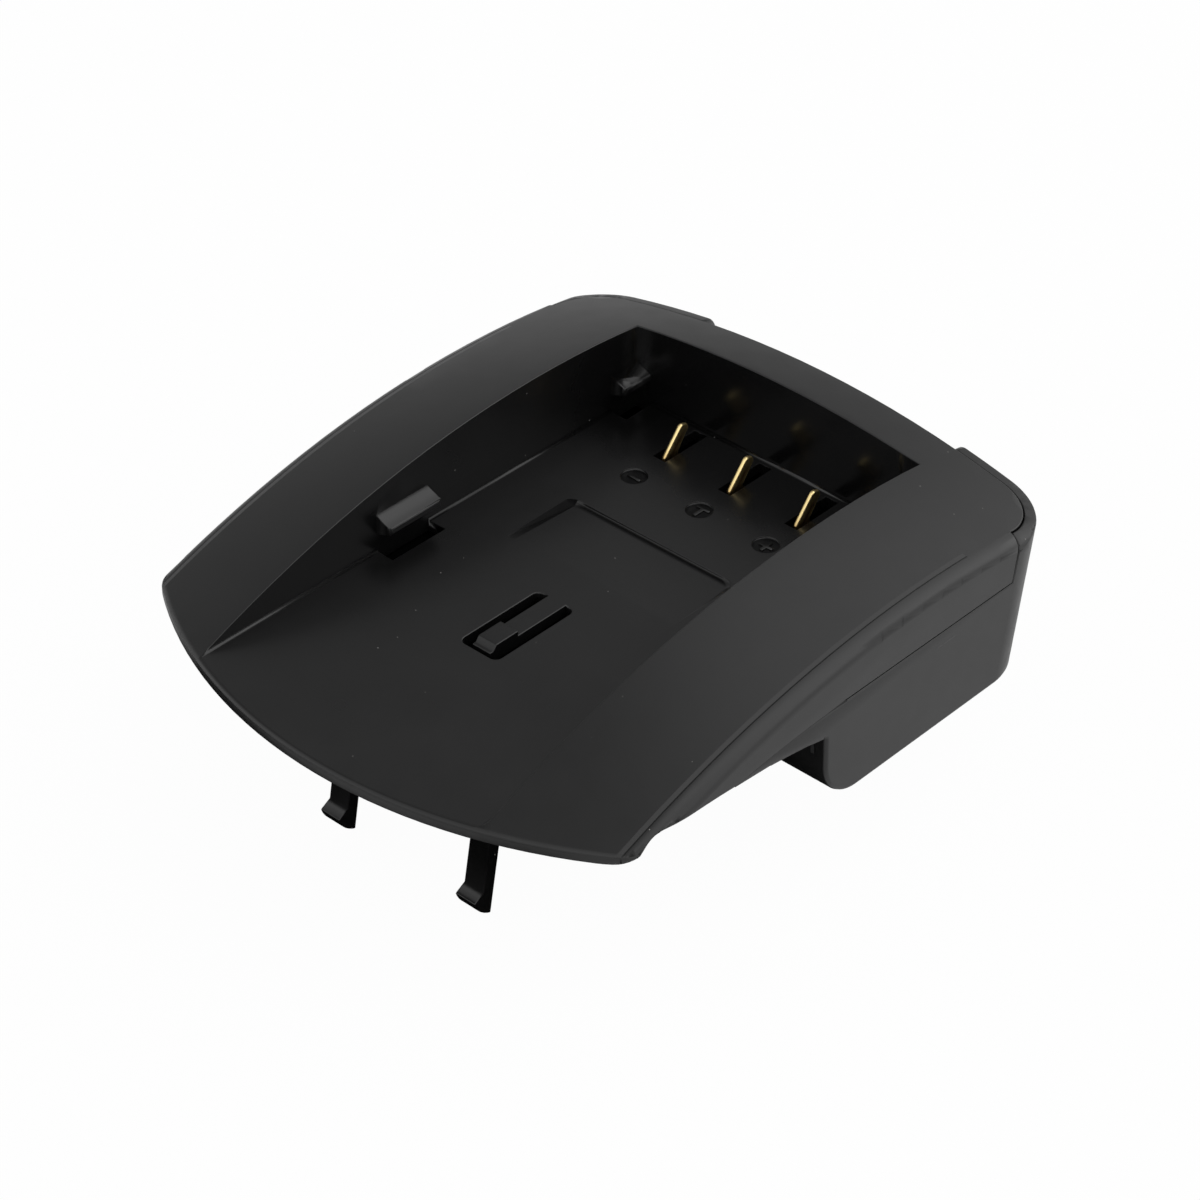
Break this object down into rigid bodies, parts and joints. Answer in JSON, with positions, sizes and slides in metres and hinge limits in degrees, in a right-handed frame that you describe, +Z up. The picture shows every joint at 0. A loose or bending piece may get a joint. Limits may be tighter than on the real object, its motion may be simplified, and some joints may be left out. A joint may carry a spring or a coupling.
{
  "type": "camera battery charging cradle",
  "caption": "Clip-on cradle of a camera battery charger: a domed black plate with a battery bay, leaning blade contacts, a latch tongue and barbed snap legs under its front.",
  "frame": {"origin": "on the flat seat under the housing, below the bay wall behind the contacts, on the centre line", "axes": "+X across the bay towards the plus contact, +Y towards the back, +Z up out of the bay"},
  "size_m": [0.0576, 0.0663, 0.0282],
  "materials": {
    "black_plastic": "satin black moulding",
    "gold_plate": "bright gold plating",
    "green_board": "green solder mask",
    "resistor_body": "dark ceramic chip",
    "screw_steel": "zinc-plated"
  },
  "bodies": {
    "root": {"cradle_cover": "black_plastic", "base_housing": "black_plastic", "contact_minus": "gold_plate", "contact_sense": "gold_plate", "contact_plus": "gold_plate", "terminal_minus": "gold_plate", "terminal_sense": "gold_plate", "terminal_plus": "gold_plate", "circuit_board": "green_board", "coding_resistor": "resistor_body", "housing_screw_left": "screw_steel", "housing_screw_right": "screw_steel"}
  },
  "joints": []
}
